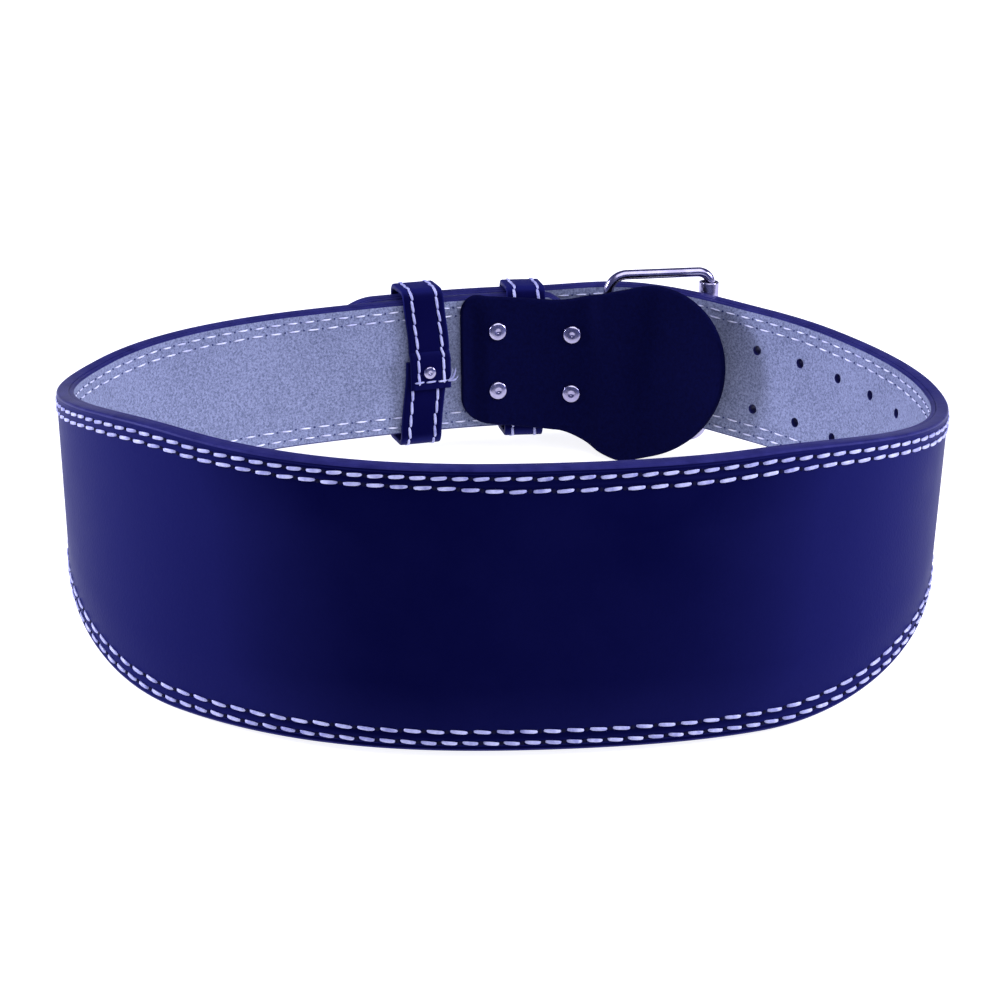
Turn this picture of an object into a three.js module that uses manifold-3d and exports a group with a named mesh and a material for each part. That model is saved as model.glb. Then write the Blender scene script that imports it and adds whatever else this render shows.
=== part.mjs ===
// Leather weightlifting belt, fastened in a loop and standing on the lower edge of its wide panel.
// Millimetres, +Z up. The wide lumbar panel faces -Y and the buckle is at the back, towards +Y.
// The origin is on the surface below the middle of the belt's box.
import * as THREE from 'three';
import { mergeVertices } from 'three/addons/utils/BufferGeometryUtils.js';
import Module from 'manifold-3d';

const wasm = await Module();
wasm.setup();

// Leather and its plies
const panelWidth = 100;
const strapWidth = 53.6;
const buckleEndWidth = 44;
const leatherThickness = 4.6;
const suedeThickness = 1.7;
const plyGap = 0.3;
const beltThickness = leatherThickness + plyGap + suedeThickness;
const suedeInset = 0.5;

// Plan outline of the loop: a circle with a few waves, each a share of the mean radius
const meanRadius = 143;
const outlineWaves = [
  { wave: 1, cosine: -0.004, sine: 0.016 },
  { wave: 2, cosine: -0.097, sine: -0.012 },
  { wave: 3, cosine: -0.010, sine: 0.018 },
  { wave: 4, cosine: 0.001, sine: -0.019 },
];
const outlineSteps = 144;

// Shape of the strap along the loop, measured both ways from the middle of the wide panel
const panelMiddle = -11.5;
const shoulderStart = 105;
const shoulderEnd = 262;
const rightShoulderEnd = 255;
const rightTail = 0.15;
const rightTailStart = 215;
const rightTailEnd = 325;
const narrowRise = 3.2;
const panelLean = -0.039;
const backLean = 0.07;
const overlapGap = 1.5;
const overlapStep = beltThickness + overlapGap;
const overlapReached = 0.4;
const stationPitch = 9;

// Places near the buckle, measured from the middle of the back towards +X
const hingeAt = 41;
const rollerAt = 76.5;
const tipAt = -77;
const tipLength = 24;
const liningEndAt = 35;
const buckleEndFrom = 15;
const buckleEndTo = 25;

// The free end rides up a little where it passes over the fold
const rideUp = 2.6;
const rideUpFrom = 8;
const rideUpMost = 48;
const rideUpTo = 104;

// Adjustment holes
const holeCount = 11;
const holePitch = 21.9;
const firstHoleAt = 191.4;
const buckledHole = 6;
const holeRise = 2.2;
const holeRowSpacing = 24.1;
const holeDiameter = 3.7;
const holeSides = 10;

// Buckle, bent from wire, with a roller and two prongs
const wireDiameter = 3.9;
const prongDiameter = 2.9;
const frameOverStrap = 14.3;
const frameHeight = strapWidth + frameOverStrap;
const frameRise = 5;
const hingeCorner = 7;
const rollerCorner = 5.3;
const rollerInset = 4.1;
const wireSides = 10;
const rollerDiameter = 8;
const turningGap = 0.35;
const partGap = 0.3;
const prongSlotHeight = 4.6;
const prongSlotStartAt = 33;
const foldReturnAt = 18;
const liftStartAt = 32.6;
const foldReturnThickness = 2.6;

// Guard flap: a rectangle along the strap that widens from its waist into a slightly skewed disc.
// It lies inside the loop, where the disc takes up more of the loop than its own width.
const flapThickness = 3;
const flapStartAt = -21.2;
const flapTop = 31;
const flapTopSlope = -0.08;
const flapBottom = -21.6;
const flapBottomSlope = -0.115;
const flapTopCorner = 8.5;
const flapBottomCorner = 9;
const flapWaistAt = 18;
const flapDiscAt = 56;
const flapDiscRise = 1.1;
const flapDiscRadius = 35.8;
const flapDiscReach = 40;
const flapDiscSkew = 4.8;
const flapLift = 2.8;
const flapReturn = 4.7;
const flapReturnAt = 47.6;
const flapReturnRun = 16;

// Keepers
const keeperThickness = 2.1;
const keeperClearOutside = 1.1;
const keeperCorner = 5;
const keeperLapLength = 12;
const fixedKeeperAt = 6.5;
const fixedKeeperWidth = 15.5;
const fixedKeeperClear = 0.8;
const fixedKeeperOverStrap = 8.4;
const fixedKeeperRise = 2.5;
const slidingKeeperAt = -35.5;
const slidingKeeperWidth = 16.6;
const slidingKeeperClear = 0.9;
const slidingKeeperOverStrap = 10.4;
const slidingKeeperRise = 3;
const slidingKeeperLapEnd = -8.2;
const keepers = [
  {
    name: 'keeper_fixed', at: fixedKeeperAt, width: fixedKeeperWidth, clearInside: fixedKeeperClear,
    height: strapWidth + fixedKeeperOverStrap, rise: fixedKeeperRise, lapEnd: null,
  },
  {
    name: 'keeper_sliding', at: slidingKeeperAt, width: slidingKeeperWidth, clearInside: slidingKeeperClear,
    height: strapWidth + slidingKeeperOverStrap, rise: slidingKeeperRise, lapEnd: slidingKeeperLapEnd,
  },
];

// Rivets
const firstRivetsAt = -6.4;
const firstRivetsRise = 5.75;
const secondRivetsAt = 26.2;
const secondRivetsRise = 3.8;
const rivetColumns = [
  { at: firstRivetsAt, up: firstRivetsRise },
  { at: secondRivetsAt, up: secondRivetsRise },
];
const rivetRowSpacing = 24.3;
const rivetHead = 7.4;
const rivetDome = 1.3;
const rivetShank = 2.8;
const rivetCap = 6;
const rivetCapThickness = 0.9;
const keeperRivetHead = 5.2;
const keeperRivetDome = 1.1;
const keeperRivetShank = 1.8;
const keeperRivetEnd = 0.6;
const keeperRivetOverLapEnd = 7.9;

// Finishes
const navyLeather = new THREE.MeshStandardMaterial({ color: '#0d0d45', roughness: 0.35, metalness: 0 });
const lilacSuede = new THREE.MeshStandardMaterial({ color: '#9aa3d6', roughness: 0.95, metalness: 0 });
const nappedLeather = new THREE.MeshStandardMaterial({ color: '#07073a', roughness: 0.8, metalness: 0 });
const nickel = new THREE.MeshStandardMaterial({ color: '#b8b4c6', roughness: 0.2, metalness: 1 });

const smooth = THREE.MathUtils.smoothstep;
const mix = THREE.MathUtils.lerp;

// The loop's plan line: the outer face of the leather where the strap is single
const outlinePoints = [];
for (let step = 0; step < outlineSteps; step += 1) {
  const bearing = (2 * Math.PI * step) / outlineSteps;
  let share = 1;
  for (const row of outlineWaves) {
    share += row.cosine * Math.cos(row.wave * bearing) + row.sine * Math.sin(row.wave * bearing);
  }
  const radius = meanRadius * share;
  outlinePoints.push(new THREE.Vector3(radius * Math.sin(bearing), -radius * Math.cos(bearing), 0));
}
const outline = new THREE.CatmullRomCurve3(outlinePoints, true);
outline.arcLengthDivisions = 1440;
const loopLength = outline.getLength();
const halfLoop = loopLength / 2;

// A place behind the belt as a distance along the left end (under) or the right end (over)
const alongUnder = (at) => -halfLoop - at;
const alongOver = (at) => halfLoop - at;

// How far the strap has narrowed, 0 in the wide panel and 1 in the ends; its right side tails off longer
const shoulder = (along) => smooth(Math.abs(along - panelMiddle), shoulderStart, shoulderEnd);
function narrowed(along) {
  const reach = along - panelMiddle;
  if (reach < 0) return shoulder(along);
  const shoulderShare = smooth(reach, shoulderStart, rightShoulderEnd);
  return mix(shoulderShare, smooth(reach, rightTailStart, rightTailEnd), rightTail);
}
const buckleEnd = (along) => smooth(-halfLoop - along, buckleEndFrom, buckleEndTo);
const strapHalf = (along) => mix(panelWidth, strapWidth, narrowed(along)) / 2;
const halfWidth = (along) => mix(strapHalf(along), buckleEndWidth / 2, buckleEnd(along));
function ridingUp(along) {
  const at = halfLoop - along;
  return rideUp * smooth(at, rideUpFrom, rideUpMost) * (1 - smooth(at, rideUpMost, rideUpTo));
}
const middleHeight = (along) => narrowRise * narrowed(along) + ridingUp(along);
const wallLean = (along) => mix(panelLean, backLean, shoulder(along));
const spiralStep = (along) => overlapStep * smooth(along, 0, overlapReached * loopLength);

// The wall's own directions at a distance along the loop
function wallAt(along) {
  const turn = THREE.MathUtils.euclideanModulo(along / loopLength, 1);
  const tangent = outline.getTangentAt(turn);
  const level = new THREE.Vector3(tangent.y, -tangent.x, 0);
  const up = level.clone().multiplyScalar(wallLean(along)).add(new THREE.Vector3(0, 0, 1)).normalize();
  const outward = tangent.clone().cross(up);
  return { point: outline.getPointAt(turn), tangent, level, up, outward };
}

// A point of the belt: distance along the loop, outwards from the plan line, and height
function place(along, out, height) {
  const wall = wallAt(along);
  return wall.point.addScaledVector(wall.level, out + wallLean(along) * height).setZ(height);
}

// Joins rings of points into one closed body, with a flat cap at each end unless the rings meet.
// Opposite faces are split along the same diagonal, so that plies side by side stay parallel.
function closedBody(rings, meets = false) {
  const sides = rings[0].length;
  const positions = rings.flat().flatMap((point) => [point.x, point.y, point.z]);
  const faces = [];
  const bands = meets ? rings.length : rings.length - 1;
  for (let band = 0; band < bands; band += 1) {
    const here = band * sides;
    const there = ((band + 1) % rings.length) * sides;
    for (let side = 0; side < sides; side += 1) {
      const next = (side + 1) % sides;
      if (side < sides / 2) {
        faces.push(here + side, here + next, there + next);
        faces.push(here + side, there + next, there + side);
      } else {
        faces.push(here + side, here + next, there + side);
        faces.push(here + next, there + next, there + side);
      }
    }
  }
  if (!meets) {
    const last = (rings.length - 1) * sides;
    for (let side = 1; side < sides - 1; side += 1) {
      faces.push(0, side + 1, side);
      faces.push(last, last + side, last + side + 1);
    }
  }
  const geometry = new THREE.BufferGeometry();
  geometry.setAttribute('position', new THREE.Float32BufferAttribute(positions, 3));
  geometry.setIndex(faces);
  return geometry;
}

function toSolid(geometry) {
  const bare = geometry.clone();
  bare.deleteAttribute('normal');
  bare.deleteAttribute('uv');
  const merged = mergeVertices(bare, 1e-4);
  const triVerts = new Uint32Array(merged.index.array);
  return new wasm.Manifold(new wasm.Mesh({
    numProp: 3,
    vertProperties: new Float32Array(merged.attributes.position.array),
    triVerts,
  }));
}

function toGeometry(solid) {
  const mesh = solid.getMesh();
  const geometry = new THREE.BufferGeometry();
  geometry.setAttribute('position', new THREE.BufferAttribute(mesh.vertProperties, 3));
  geometry.setIndex(new THREE.BufferAttribute(mesh.triVerts, 1));
  return geometry;
}

function cutAway(geometry, cutters) {
  let solid = toSolid(geometry);
  for (const cutter of cutters) {
    solid = solid.subtract(toSolid(cutter));
  }
  return toGeometry(solid);
}

// Even steps between two places, no longer than the pitch
function stationsBetween(from, to, pitch) {
  const count = Math.ceil(Math.abs(to - from) / pitch);
  return Array.from({ length: count + 1 }, (_, index) => mix(from, to, index / count));
}

// A section across a wall: its outer and inner face at the top and bottom edges
function wallSection(along, out, thickness, top, bottom) {
  return [
    place(along, out, top),
    place(along, out, bottom),
    place(along, out - thickness, bottom),
    place(along, out - thickness, top),
  ];
}

function strapSection(along, out, thickness, inset, roundShare = 1) {
  const half = halfWidth(along) * roundShare - inset;
  const middle = middleHeight(along);
  return wallSection(along, out + spiralStep(along), thickness, middle + half, middle - half);
}

// Both plies share their stations, so that they stay parallel between them
const strapStations = stationsBetween(alongUnder(liningEndAt), alongOver(tipAt + tipLength), stationPitch);

// Both plies end in the same rounded tip, as quarter ellipses above and below the middle
function tipSections(out, thickness, inset) {
  const steps = 7;
  const sections = [];
  for (let step = 1; step <= steps; step += 1) {
    const angle = (step / steps) * THREE.MathUtils.degToRad(86);
    const at = tipAt + tipLength - (tipLength - inset) * Math.sin(angle);
    sections.push(strapSection(alongOver(at), out, thickness, inset, Math.cos(angle)));
  }
  return sections;
}

// A cylinder through the wall, standing square to it
function wallCylinder(along, out, height, radius, length, sides) {
  const wall = wallAt(along);
  const cylinder = new THREE.CylinderGeometry(radius, radius, length, sides);
  cylinder.rotateX(Math.PI / 2);
  const middle = place(along, out, height);
  const basis = new THREE.Matrix4().makeBasis(wall.tangent, wall.up, wall.outward).setPosition(middle);
  return cylinder.applyMatrix4(basis);
}

// The hinge bar and the roller's bar in plan, with the fold's and the window's own directions
const hingeOut = -(leatherThickness + turningGap + wireDiameter / 2);
const rollerOut = overlapStep + partGap + rollerDiameter / 2;
const hinge = wallAt(alongUnder(hingeAt));
const onwards = hinge.tangent.clone().negate();

// A point of the buckle: between the hinge bar and the roller's bar, at a height
function bucklePoint(share, height) {
  const from = place(alongUnder(hingeAt), hingeOut, height);
  const to = place(alongUnder(rollerAt), rollerOut, height);
  return from.lerp(to, share);
}

const frameReach = bucklePoint(0, 0).distanceTo(bucklePoint(1, 0));

// Sweeps a round section along points of a plane, square to the path
function sweepWire(points, diameter, planeNormal, meets = false) {
  const rings = points.map((point, index) => {
    const before = points[meets ? (index + points.length - 1) % points.length : Math.max(index - 1, 0)];
    const after = points[meets ? (index + 1) % points.length : Math.min(index + 1, points.length - 1)];
    const heading = after.clone().sub(before).normalize();
    const beside = heading.clone().cross(planeNormal).normalize();
    return Array.from({ length: wireSides }, (_, side) => {
      const angle = (2 * Math.PI * side) / wireSides;
      return point.clone()
        .addScaledVector(planeNormal, (Math.cos(angle) * diameter) / 2)
        .addScaledVector(beside, (Math.sin(angle) * diameter) / 2);
    });
  });
  return closedBody(rings, meets);
}

// Frame: a rounded rectangle in its own slanted plane
function buckleFrame() {
  const half = frameHeight / 2;
  const hingeShare = hingeCorner / frameReach;
  const rollerShare = rollerCorner / frameReach;
  const cornerSteps = 6;
  const corners = [
    { share: 1 - rollerShare, height: half - rollerCorner, radius: rollerCorner, start: 0 },
    { share: hingeShare, height: half - hingeCorner, radius: hingeCorner, start: 90 },
    { share: hingeShare, height: -half + hingeCorner, radius: hingeCorner, start: 180 },
    { share: 1 - rollerShare, height: -half + rollerCorner, radius: rollerCorner, start: 270 },
  ];
  const points = [];
  for (const corner of corners) {
    for (let step = 0; step <= cornerSteps; step += 1) {
      const angle = THREE.MathUtils.degToRad(corner.start + (90 * step) / cornerSteps);
      const share = corner.share + (corner.radius / frameReach) * Math.cos(angle);
      points.push(bucklePoint(share, frameRise + corner.height + corner.radius * Math.sin(angle)));
    }
  }
  const acrossWindow = bucklePoint(1, 0).sub(bucklePoint(0, 0));
  const upWindow = bucklePoint(0, 1).sub(bucklePoint(0, 0));
  const planeNormal = acrossWindow.cross(upWindow).negate().normalize();
  return sweepWire(points, wireDiameter, planeNormal, true);
}

// Roller: a tube that turns on the frame's outer bar
function buckleRoller() {
  const half = frameHeight / 2 - rollerInset;
  const inner = wireDiameter / 2 + turningGap;
  const outer = rollerDiameter / 2;
  const profile = [
    new THREE.Vector2(inner, -half),
    new THREE.Vector2(outer, -half),
    new THREE.Vector2(outer, half),
    new THREE.Vector2(inner, half),
    new THREE.Vector2(inner, -half),
  ];
  const tube = new THREE.LatheGeometry(profile, 20);
  tube.rotateX(Math.PI / 2);
  const axis = bucklePoint(1, 1).sub(bucklePoint(1, 0)).normalize();
  tube.applyQuaternion(new THREE.Quaternion().setFromUnitVectors(new THREE.Vector3(0, 0, 1), axis));
  const middle = bucklePoint(1, frameRise);
  return tube.translate(middle.x, middle.y, middle.z);
}

const upright = new THREE.Vector3(0, 0, 1);

// Prong: an eye round the hinge bar and a shaft that bends through the strap's hole on to the roller
const prongRoute = [
  { at: 42, out: -3.2 },
  { at: 48, out: -2.4 },
  { at: 54.5, out: 0.2 },
  { at: 60, out: 4 },
  { at: 65, out: 9 },
  { at: 69.5, out: 14.6 },
  { at: 74, out: 18.1 },
  { at: 78.5, out: 18.7 },
  { at: 83.5, out: 18 },
];
function prongShaft(height, diameter, steps) {
  const route = new THREE.CatmullRomCurve3(
    prongRoute.map((row) => place(alongUnder(row.at), row.out, height)),
  );
  return sweepWire(route.getSpacedPoints(steps), diameter, upright);
}
function prong(height) {
  const eyeRadius = wireDiameter / 2 + turningGap + prongDiameter / 2;
  const eyeSteps = 14;
  const eyePoints = [];
  for (let step = 0; step < eyeSteps; step += 1) {
    const angle = (2 * Math.PI * step) / eyeSteps;
    eyePoints.push(bucklePoint(0, height)
      .addScaledVector(onwards, eyeRadius * Math.cos(angle))
      .addScaledVector(hinge.level, eyeRadius * Math.sin(angle)));
  }
  const eye = sweepWire(eyePoints, prongDiameter, upright, true);
  const shaft = prongShaft(height, prongDiameter, 14);
  return toGeometry(toSolid(eye).add(toSolid(shaft)));
}
const holeAlong = (hole) => alongOver(firstHoleAt - hole * holePitch);
const holeHeight = (hole, side) => holeRise + ridingUp(holeAlong(hole)) + side * holeRowSpacing;
const prongHeights = [
  { name: 'prong_upper', height: holeHeight(buckledHole, 0.5) },
  { name: 'prong_lower', height: holeHeight(buckledHole, -0.5) },
];
const prongClearances = prongHeights.map(
  (row) => prongShaft(row.height, prongDiameter + 2 * turningGap, 10),
);

// Holes through both plies, square to the wall
const holeCutters = [];
for (let hole = 0; hole < holeCount; hole += 1) {
  const along = holeAlong(hole);
  const out = spiralStep(along) - beltThickness / 2;
  for (const side of [0.5, -0.5]) {
    const height = holeHeight(hole, side);
    holeCutters.push(wallCylinder(along, out, height, holeDiameter / 2, 2 * beltThickness, holeSides));
  }
}

// Outer face of the guard flap, which runs over the fold and hangs free behind the window
function flapOut(at) {
  const onLining = -(beltThickness + plyGap);
  const overReturn = (foldReturnThickness + plyGap) * smooth(at, flapStartAt + 4, flapStartAt + 12);
  const overFold = flapLift * smooth(at, liftStartAt, hingeAt - 1);
  const back = flapReturn * smooth(at, flapReturnAt, flapReturnAt + flapReturnRun);
  return onLining - overReturn - overFold + back;
}

// The rivets' own places, with the plane of their heads, and the holes that they pass through
const rivets = rivetColumns.flatMap((column) => [0.5, -0.5].map((side) => ({
  along: alongUnder(column.at),
  headOut: flapOut(column.at) - flapThickness - partGap,
  height: column.up + side * rivetRowSpacing,
})));
const rivetCutters = rivets.map((rivet) => wallCylinder(
  rivet.along, rivet.headOut, rivet.height, rivetShank / 2 + partGap, 8 * beltThickness, holeSides,
));

// Main strap: from the turned-back end, round the hinge bar, once round the loop, to the tip
function beltBody() {
  const foldSteps = 10;
  const half = buckleEndWidth / 2;
  const innerRadius = wireDiameter / 2 + turningGap;
  const returnOut = -(beltThickness + plyGap);
  const returnTo = hingeOut - innerRadius;
  const sections = [];
  for (const at of stationsBetween(foldReturnAt, hingeAt, stationPitch)) {
    const out = mix(returnOut, returnTo, smooth(at, liftStartAt + 0.4, hingeAt));
    const section = wallSection(
      alongUnder(at), out - foldReturnThickness, -foldReturnThickness,
      narrowRise + half, narrowRise - half,
    );
    sections.push(section);
  }
  for (let step = 1; step < foldSteps; step += 1) {
    const angle = Math.PI * (step / foldSteps);
    const thickness = mix(foldReturnThickness, leatherThickness, step / foldSteps);
    const direction = onwards.clone().multiplyScalar(Math.sin(angle))
      .addScaledVector(hinge.level, -Math.cos(angle));
    const reach = (radius, height) => bucklePoint(0, height).addScaledVector(direction, radius);
    sections.push([
      reach(innerRadius + thickness, narrowRise + half),
      reach(innerRadius + thickness, narrowRise - half),
      reach(innerRadius, narrowRise - half),
      reach(innerRadius, narrowRise + half),
    ]);
  }
  for (const along of [alongUnder(hingeAt), ...strapStations]) {
    sections.push(strapSection(along, 0, leatherThickness, 0));
  }
  sections.push(...tipSections(0, leatherThickness, 0));
  const slots = prongHeights.map((row) => prongSlot(row.height));
  return cutAway(closedBody(sections), [...slots, ...holeCutters, ...prongClearances, ...rivetCutters]);
}

// Slot in the fold that lets a prong swing on the hinge bar
function prongSlot(height) {
  const far = hingeAt + leatherThickness * 3;
  const slotHalf = prongSlotHeight / 2;
  const sections = stationsBetween(far, prongSlotStartAt, stationPitch).map((at) => wallSection(
    alongUnder(at), leatherThickness, leatherThickness * 5, height + slotHalf, height - slotHalf,
  ));
  return closedBody(sections);
}

// Lining: the suede ply inside the strap
function suedeLining() {
  const out = -(leatherThickness + plyGap);
  const sections = strapStations.map((along) => strapSection(along, out, suedeThickness, suedeInset));
  sections.push(...tipSections(out, suedeThickness, suedeInset));
  return cutAway(closedBody(sections), [...holeCutters, ...prongClearances, ...rivetCutters]);
}

// Height of the skewed disc's upper (side 1) or lower (side -1) edge at a place
const flapDiscHalf = Math.hypot(flapDiscReach, flapDiscSkew);
function flapDiscEdge(at, side) {
  const turn = Math.acos(THREE.MathUtils.clamp((at - flapDiscAt) / flapDiscHalf, -1, 1));
  const skew = Math.atan2(flapDiscSkew, flapDiscReach);
  return flapDiscRise + flapDiscRadius * Math.sin(skew + side * turn);
}

// Height of the guard flap's upper or lower edge: corner, rectangle, waist and disc
function flapEdge(at, side) {
  const crest = flapDiscAt + side * flapDiscSkew;
  if (at > crest) return flapDiscEdge(at, side);
  const slope = Math.min(at, flapWaistAt);
  const straight = side > 0 ? flapTop + flapTopSlope * slope : flapBottom + flapBottomSlope * slope;
  const corner = side > 0 ? flapTopCorner : flapBottomCorner;
  const short = Math.max(corner - (at - flapStartAt), 0);
  const cut = corner - Math.sqrt(corner ** 2 - short ** 2);
  const waist = smooth(at, flapWaistAt, crest);
  return mix(straight - side * cut, flapDiscRise + side * flapDiscRadius, waist);
}

function guardFlap() {
  const places = [];
  for (const turn of [6, 20, 38, 60, 90]) {
    places.push(flapStartAt + flapBottomCorner * (1 - Math.cos(THREE.MathUtils.degToRad(turn))));
  }
  places.push(...stationsBetween(flapStartAt + flapBottomCorner + 4, flapDiscAt - flapDiscSkew, 4));
  for (let turn = 82; turn > 6; turn -= 9) {
    places.push(flapDiscAt + flapDiscHalf * Math.cos(THREE.MathUtils.degToRad(turn)));
  }
  const sections = places.map((at) => wallSection(
    alongUnder(at), flapOut(at), flapThickness, flapEdge(at, 1), flapEdge(at, -1),
  ).reverse());
  return cutAway(closedBody(sections), rivetCutters);
}

// Keeper: a flat band in a closed loop, round the strap and the free end, with a lapped joint inside
function keeper(row) {
  const outerRun = overlapStep + keeperClearOutside;
  const innerRun = -(beltThickness + row.clearInside);
  const high = row.height / 2;
  const loop = (grow, lap) => {
    const shape = new THREE.Path();
    const left = innerRun - grow;
    const right = outerRun + grow;
    const top = high - keeperThickness + grow;
    const corner = keeperCorner - keeperThickness + grow;
    shape.moveTo(left + corner, -top);
    shape.lineTo(right - corner, -top);
    shape.absarc(right - corner, -top + corner, corner, -Math.PI / 2, 0, false);
    shape.lineTo(right, top - corner);
    shape.absarc(right - corner, top - corner, corner, 0, Math.PI / 2, false);
    shape.lineTo(left + corner, top);
    shape.absarc(left + corner, top - corner, corner, Math.PI / 2, Math.PI, false);
    if (lap !== null) {
      const lapTop = lap + keeperLapLength;
      shape.lineTo(left, lapTop + keeperThickness);
      shape.lineTo(left - keeperThickness, lapTop);
      shape.lineTo(left - keeperThickness, lap);
      shape.lineTo(left, lap);
    }
    shape.lineTo(left, -top + corner);
    shape.absarc(left + corner, -top + corner, corner, Math.PI, 1.5 * Math.PI, false);
    return shape;
  };
  const section = new THREE.Shape(loop(keeperThickness, row.lapEnd).getPoints(4));
  section.holes.push(new THREE.Path(loop(0, null).getPoints(4)));
  const band = new THREE.ExtrudeGeometry(section, { depth: row.width, bevelEnabled: false });
  band.translate(0, 0, -row.width / 2);
  const along = alongUnder(row.at);
  const wall = wallAt(along);
  const middle = place(along, 0, row.rise);
  const across = wall.tangent.clone().negate();
  band.applyMatrix4(new THREE.Matrix4().makeBasis(wall.outward, wall.up, across).setPosition(middle));
  return row.lapEnd === null ? band : cutAway(band, [keeperRivetAt(row, partGap)]);
}

// A round part from its profile, standing square to the wall with its head inwards
function onWall(profile, along, out, height, sides) {
  const body = new THREE.LatheGeometry(profile, sides);
  body.rotateX(Math.PI / 2);
  const wall = wallAt(along);
  const basis = new THREE.Matrix4().makeBasis(wall.tangent, wall.up, wall.outward);
  return body.applyMatrix4(basis.setPosition(place(along, out, height)));
}

// Profile of a domed rivet: dome below the axis origin, shank, and a flat cap above
function rivetProfile(head, dome, shank, grip, cap, capThickness, grow = 0) {
  const points = [new THREE.Vector2(0, -dome - grow)];
  const domeSteps = 4;
  for (let step = 1; step <= domeSteps; step += 1) {
    const angle = (Math.PI / 2) * (step / domeSteps);
    points.push(new THREE.Vector2(
      (head / 2 + grow) * Math.sin(angle),
      -(dome + grow) * Math.cos(angle),
    ));
  }
  points.push(new THREE.Vector2(shank / 2 + grow, 0));
  points.push(new THREE.Vector2(shank / 2 + grow, grip));
  points.push(new THREE.Vector2(cap / 2 + grow, grip));
  points.push(new THREE.Vector2(cap / 2 + grow, grip + capThickness + grow));
  points.push(new THREE.Vector2(0, grip + capThickness + grow));
  return points;
}

function flapRivet(rivet) {
  const grip = partGap - rivet.headOut;
  const profile = rivetProfile(rivetHead, rivetDome, rivetShank, grip, rivetCap, rivetCapThickness);
  return onWall(profile, rivet.along, rivet.headOut, rivet.height, 14);
}

// The keeper's rivet goes through its lap only, with its head on the inner face
function keeperRivetAt(row, grow) {
  const headFace = -(beltThickness + row.clearInside + 2 * keeperThickness + partGap);
  const grip = 2 * keeperThickness - keeperRivetEnd;
  const profile = rivetProfile(
    keeperRivetHead, keeperRivetDome, keeperRivetShank, grip, keeperRivetShank, partGap, grow,
  );
  const height = row.rise + row.lapEnd + keeperRivetOverLapEnd;
  return onWall(profile, alongUnder(row.at), headFace, height, 12);
}

const belt = new THREE.Group();
function add(name, geometry, material) {
  const mesh = new THREE.Mesh(geometry, material);
  mesh.name = name;
  belt.add(mesh);
}

add('belt_body', beltBody(), navyLeather);
add('suede_lining', suedeLining(), lilacSuede);
add('guard_flap', guardFlap(), nappedLeather);
add('buckle_frame', buckleFrame(), nickel);
add('buckle_roller', buckleRoller(), nickel);
for (const row of prongHeights) {
  add(row.name, prong(row.height), nickel);
}
for (const row of keepers) {
  add(row.name, keeper(row), navyLeather);
}
rivets.forEach((rivet, index) => add(`rivet_${index + 1}`, flapRivet(rivet), nickel));
add('keeper_rivet', keeperRivetAt(keepers[1], 0), nickel);

// How low the belt's front or back reaches when it leans back by an angle
function lowestPoint(lean, isFront) {
  const turn = new THREE.Matrix4().makeRotationX(-lean);
  const point = new THREE.Vector3();
  let lowest = Infinity;
  for (const mesh of belt.children) {
    const position = mesh.geometry.attributes.position;
    for (let index = 0; index < position.count; index += 1) {
      point.fromBufferAttribute(position, index);
      const wanted = (point.y < 0) === isFront;
      point.applyMatrix4(turn);
      if (wanted) lowest = Math.min(lowest, point.z);
    }
  }
  return lowest;
}

// The belt rests leaning back, on its wide edge and on what hangs lowest behind
let least = 0;
let most = THREE.MathUtils.degToRad(12);
for (let pass = 0; pass < 30; pass += 1) {
  const middle = (least + most) / 2;
  if (lowestPoint(middle, false) > lowestPoint(middle, true)) least = middle;
  else most = middle;
}
belt.rotation.x = -least;
belt.updateMatrixWorld(true);
const box = new THREE.Box3().setFromObject(belt, true);
belt.position.set(-(box.min.x + box.max.x) / 2, -(box.min.y + box.max.y) / 2, -box.min.z);

export default belt;
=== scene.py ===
"""Leather weightlifting belt: smooth navy leather, suede lining, white sewing, nickel roller buckle."""
import bisect
import math
import random

import bmesh
import bpy
from mathutils import Matrix, Vector


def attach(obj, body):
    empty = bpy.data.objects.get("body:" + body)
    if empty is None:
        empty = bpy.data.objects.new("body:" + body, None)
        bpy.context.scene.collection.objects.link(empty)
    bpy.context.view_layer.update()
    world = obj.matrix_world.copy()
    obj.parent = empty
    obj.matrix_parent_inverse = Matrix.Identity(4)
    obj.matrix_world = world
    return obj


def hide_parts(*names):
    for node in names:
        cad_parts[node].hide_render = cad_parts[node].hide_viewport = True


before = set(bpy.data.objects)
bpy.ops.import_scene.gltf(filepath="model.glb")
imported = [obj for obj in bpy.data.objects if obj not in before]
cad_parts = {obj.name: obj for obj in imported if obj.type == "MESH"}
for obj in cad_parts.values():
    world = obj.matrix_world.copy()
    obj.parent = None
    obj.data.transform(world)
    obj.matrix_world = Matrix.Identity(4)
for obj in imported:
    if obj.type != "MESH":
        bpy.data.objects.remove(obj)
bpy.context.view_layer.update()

MM = 0.001

# Belt sizes in millimetres, the same as the solids'
PANEL_WIDTH = 100.0
STRAP_WIDTH = 53.6
BUCKLE_END_WIDTH = 44.0
LEATHER = 4.6
SUEDE = 1.7
PLY_GAP = 0.3
BELT_THICKNESS = LEATHER + PLY_GAP + SUEDE
SUEDE_INSET = 0.2
MEAN_RADIUS = 143.0
OUTLINE_WAVES = (
    {"wave": 1, "cosine": -0.004, "sine": 0.016},
    {"wave": 2, "cosine": -0.097, "sine": -0.012},
    {"wave": 3, "cosine": -0.010, "sine": 0.018},
    {"wave": 4, "cosine": 0.001, "sine": -0.019},
)
PANEL_MIDDLE = -11.5
SHOULDER_START = 105.0
SHOULDER_END = 262.0
RIGHT_SHOULDER_END = 255.0
RIGHT_TAIL = 0.15
RIGHT_TAIL_START = 215.0
RIGHT_TAIL_END = 325.0
NARROW_RISE = 3.2
PANEL_LEAN = -0.039
BACK_LEAN = 0.07
OVERLAP_STEP = BELT_THICKNESS + 1.5
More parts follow.
